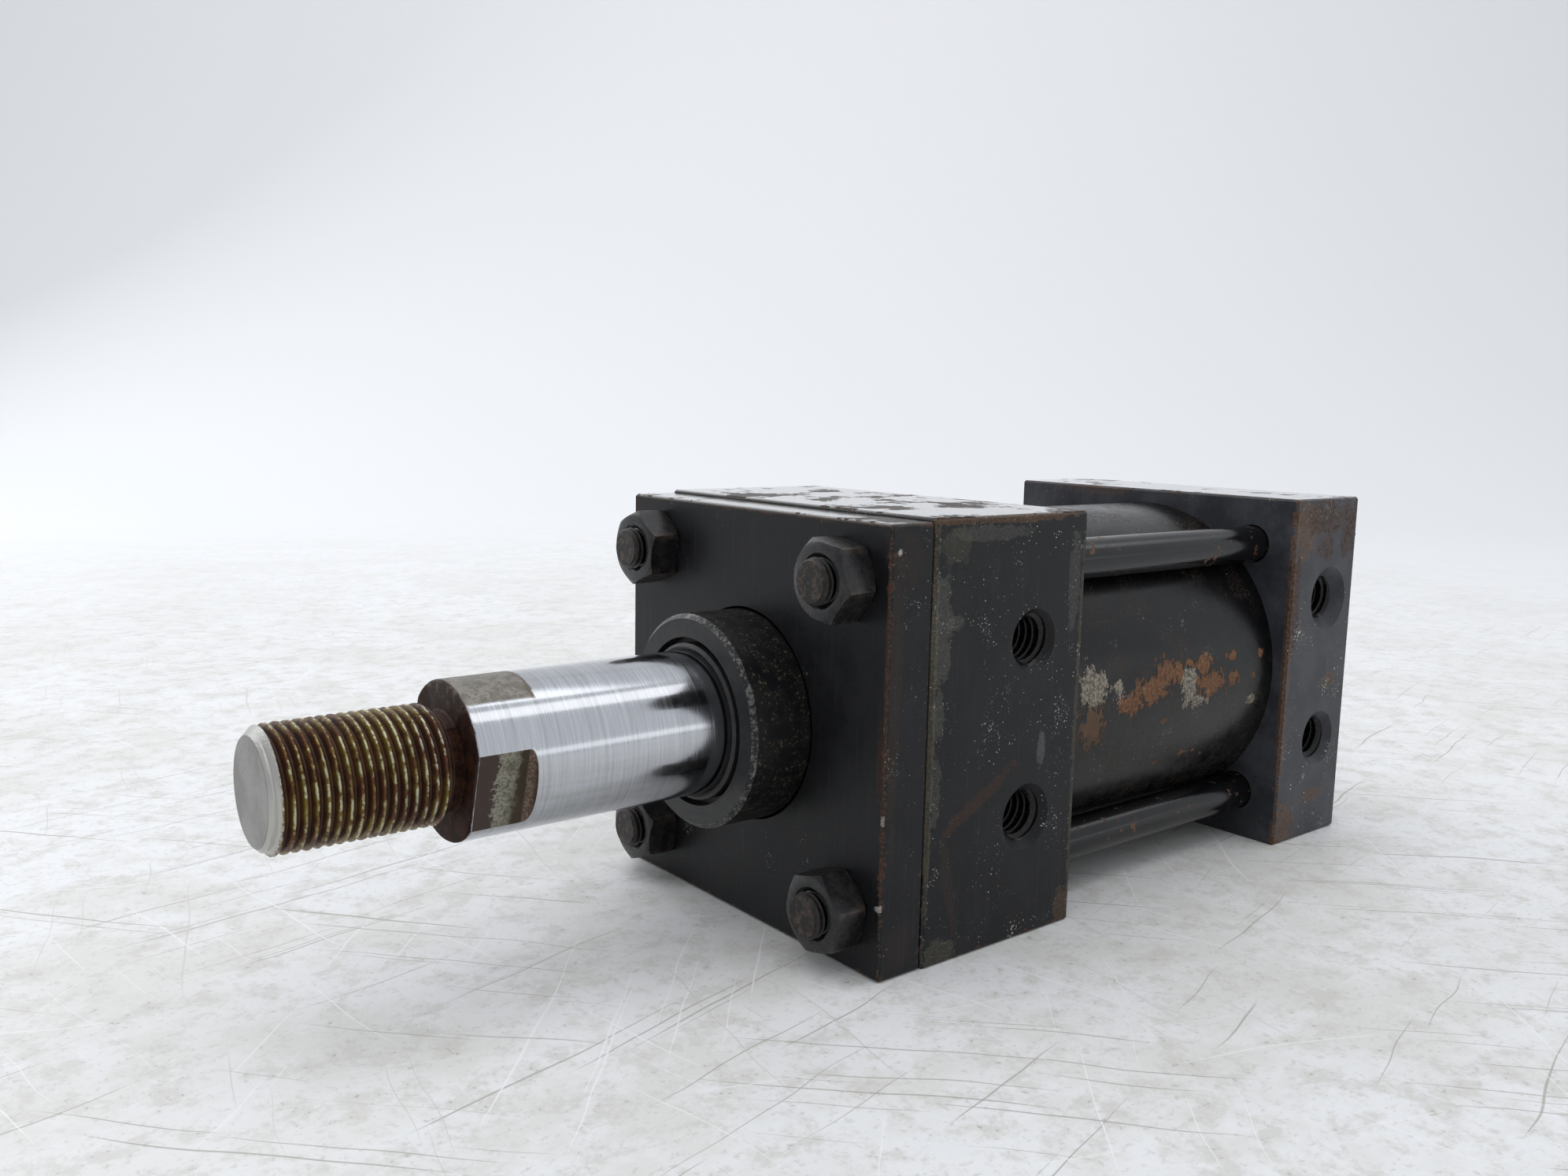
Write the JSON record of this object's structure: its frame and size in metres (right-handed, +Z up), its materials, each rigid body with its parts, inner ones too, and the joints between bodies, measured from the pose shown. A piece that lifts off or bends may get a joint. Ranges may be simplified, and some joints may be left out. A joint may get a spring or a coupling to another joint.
{
  "type": "pneumatic cylinder",
  "caption": "Square-headed tie-rod air cylinder with a short stroke, a chromed rod with a male threaded end and wrench flats, and side tapped mounting holes.",
  "frame": {"origin": "on the rod's axis at the retainer plate's front face, where the pilot boss leaves it", "axes": "+X out along the rod, +Y out of the side with the four tapped mounting holes, +Z up as it lies"},
  "size_m": [0.2377, 0.0762, 0.0762],
  "materials": {
    "end_paint": "worn satin black paint over steel, rust at the edges",
    "tube_paint": "semi-gloss black paint, flaking to orange rust",
    "tie_rod_paint": "glossy black paint on steel with rust specks",
    "nut_paint": "black oxide with brown edges",
    "gland_steel": "dull dark turned steel",
    "rod_chrome": "hard chrome plate, finely scratched round",
    "bare_steel": "plain steel",
    "piston_iron": "machined cast iron",
    "bronze": "machined bronze",
    "seal_rubber": "black nitrile rubber",
    "band_plastic": "brown filled plastic",
    "gasket_fibre": "compressed fibre"
  },
  "bodies": {
    "housing": {"retainer_plate": "end_paint", "front_head": "end_paint", "rear_cap": "end_paint", "rod_gland": "gland_steel", "rod_bushing": "bronze", "rod_wiper": "seal_rubber", "rod_seal": "seal_rubber", "gland_o_ring": "seal_rubber", "cylinder_tube": "tube_paint", "head_tube_gasket": "gasket_fibre", "cap_tube_gasket": "gasket_fibre", "tie_rod_upper_mount": "tie_rod_paint", "head_nut_upper_mount": "nut_paint", "cap_nut_upper_mount": "nut_paint", "tie_rod_upper_port": "tie_rod_paint", "head_nut_upper_port": "nut_paint", "cap_nut_upper_port": "nut_paint", "tie_rod_lower_port": "tie_rod_paint", "head_nut_lower_port": "nut_paint", "cap_nut_lower_port": "nut_paint", "tie_rod_lower_mount": "tie_rod_paint", "head_nut_lower_mount": "nut_paint", "cap_nut_lower_mount": "nut_paint"},
    "piston_rings": {"piston_seal_front": "seal_rubber", "piston_wear_band": "band_plastic", "piston_seal_rear": "seal_rubber"},
    "rod_assembly": {"piston_rod": "rod_chrome", "piston": "piston_iron", "piston_o_ring": "seal_rubber", "piston_nut": "bare_steel"}
  },
  "joints": [
    {"name": "rod_slide", "type": "slide", "parent": "housing", "child": "piston_rings", "axis": [1, 0, 0], "range_m": [-0.0326, 0.0055]},
    {"name": "rod_turn", "type": "hinge", "parent": "piston_rings", "child": "rod_assembly", "pos_m": [0, 0, 0], "axis": [1, 0, 0], "continuous": true}
  ]
}
